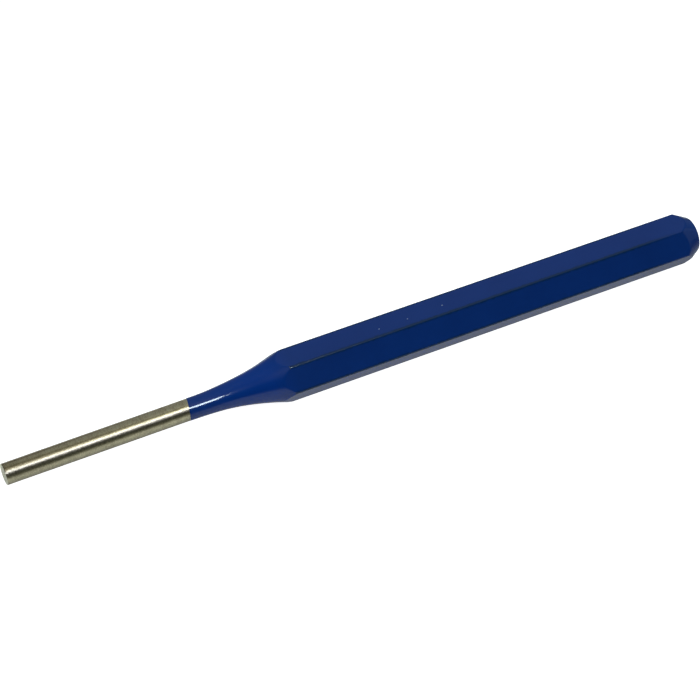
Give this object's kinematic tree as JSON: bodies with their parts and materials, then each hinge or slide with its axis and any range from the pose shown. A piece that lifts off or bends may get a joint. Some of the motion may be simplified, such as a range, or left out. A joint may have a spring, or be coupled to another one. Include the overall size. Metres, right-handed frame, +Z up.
{
  "type": "parallel pin punch",
  "caption": "Steel pin punch with a slim round pin, a hollow flare, a blue-lacquered hexagonal shank and a chamfered struck head.",
  "frame": {"origin": "centre of the pin's flat working face, on the punch's axis", "axes": "+X along the axis from the working face to the struck head, +Z up and square to the flat that the punch lies on, +Y across the corners of the hexagon"},
  "size_m": [0.1524, 0.011, 0.0096],
  "materials": {
    "ground_steel": "bare hardened steel, ground round the pin, with fine marks running round it",
    "blue_lacquer": "glossy deep blue lacquer, thin over the corners of the hexagon"
  },
  "bodies": {
    "root": {"steel_punch": "ground_steel", "lacquer_coat": "blue_lacquer"}
  },
  "joints": []
}
